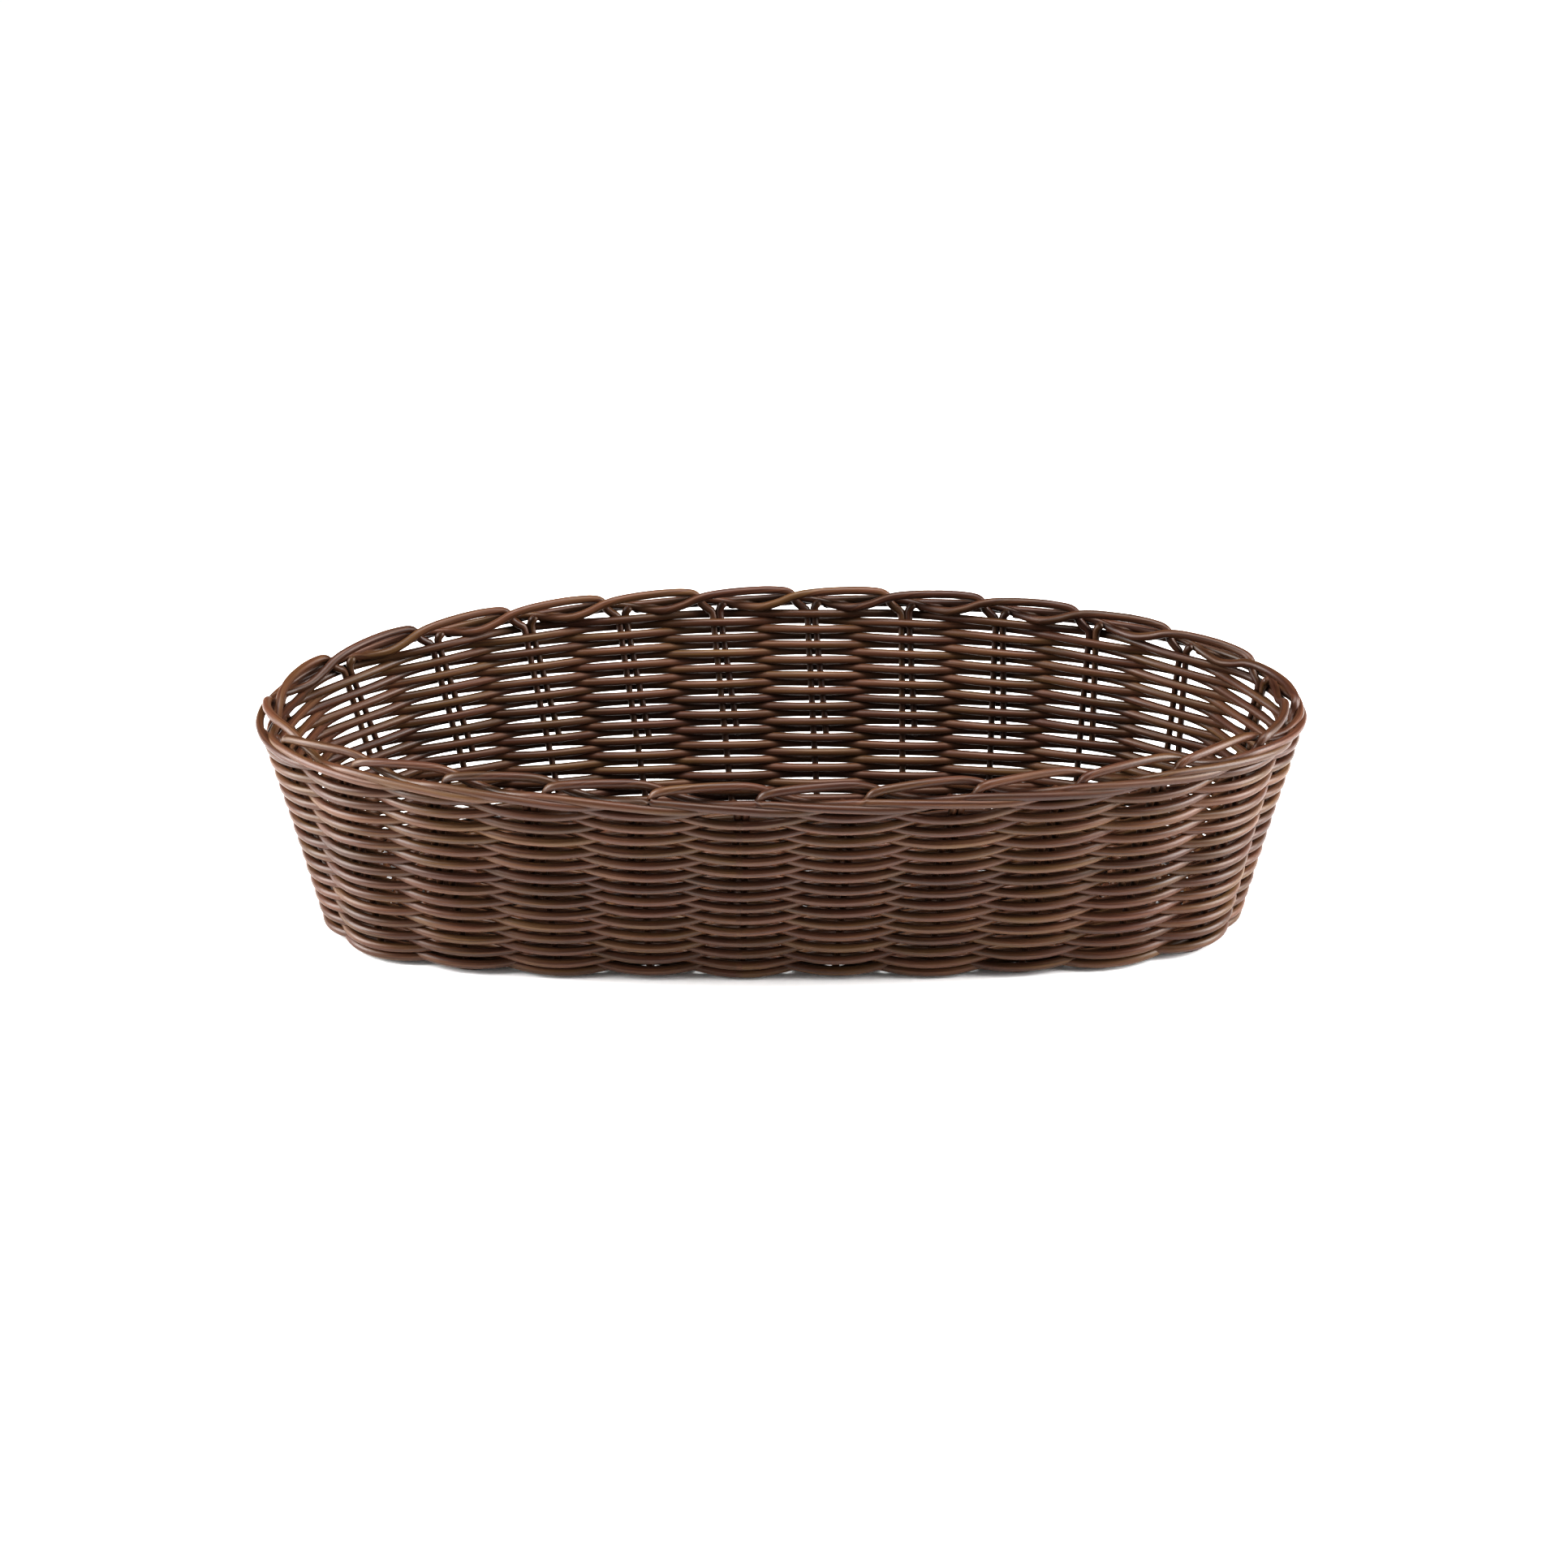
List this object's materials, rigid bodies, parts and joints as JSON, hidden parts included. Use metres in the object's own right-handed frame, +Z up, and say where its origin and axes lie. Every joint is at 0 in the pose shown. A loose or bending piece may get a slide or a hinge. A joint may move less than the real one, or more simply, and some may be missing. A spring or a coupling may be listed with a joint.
{
  "type": "woven basket",
  "caption": "Oval open basket of round plastic strand woven over paired stakes, with flared sides, a rolled border and a flat woven base.",
  "frame": {"origin": "middle of the flat face that the basket rests on", "axes": "+X along the length of the oval, +Y across it, +Z up towards the open top"},
  "size_m": [0.3744, 0.1764, 0.0882],
  "materials": {
    "weaver_strand": "dark brown extruded plastic strand, satin, with faint streaks along it",
    "stake_strand": "dark brown extruded plastic strand, satin, with faint streaks along it",
    "base_strand": "dark brown extruded plastic strand, satin, with faint streaks along it"
  },
  "bodies": {
    "root": {"foot_row": "weaver_strand", "weaver_row_01": "weaver_strand", "weaver_row_02": "weaver_strand", "weaver_row_03": "weaver_strand", "weaver_row_04": "weaver_strand", "weaver_row_05": "weaver_strand", "weaver_row_06": "weaver_strand", "weaver_row_07": "weaver_strand", "weaver_row_08": "weaver_strand", "weaver_row_09": "weaver_strand", "weaver_row_10": "weaver_strand", "weaver_row_11": "weaver_strand", "weaver_row_12": "weaver_strand", "weaver_row_13": "weaver_strand", "weaver_row_14": "weaver_strand", "weaver_row_15": "weaver_strand", "weaver_row_16": "weaver_strand", "weaver_row_17": "weaver_strand", "weaver_row_18": "weaver_strand", "weaver_row_19": "weaver_strand", "weaver_row_20": "weaver_strand", "weaver_row_21": "weaver_strand", "weaver_row_22": "weaver_strand", "weaver_row_23": "weaver_strand", "weaver_row_24": "weaver_strand", "weaver_row_25": "weaver_strand", "weaver_row_26": "weaver_strand", "weaver_row_27": "weaver_strand", "stake_pair_01": "stake_strand", "stake_pair_02": "stake_strand", "stake_pair_03": "stake_strand", "stake_pair_04": "stake_strand", "stake_pair_05": "stake_strand", "stake_pair_06": "stake_strand", "stake_pair_07": "stake_strand", "stake_pair_08": "stake_strand", "stake_pair_09": "stake_strand", "stake_pair_10": "stake_strand", "stake_pair_11": "stake_strand", "stake_pair_12": "stake_strand", "stake_pair_13": "stake_strand", "stake_pair_14": "stake_strand", "stake_pair_15": "stake_strand", "stake_pair_16": "stake_strand", "stake_pair_17": "stake_strand", "stake_pair_18": "stake_strand", "stake_pair_19": "stake_strand", "stake_pair_20": "stake_strand", "stake_pair_21": "stake_strand", "stake_pair_22": "stake_strand", "stake_pair_23": "stake_strand", "stake_pair_24": "stake_strand", "base_weave": "base_strand", "base_long_sticks": "stake_strand", "base_cross_sticks": "stake_strand"}
  },
  "joints": []
}
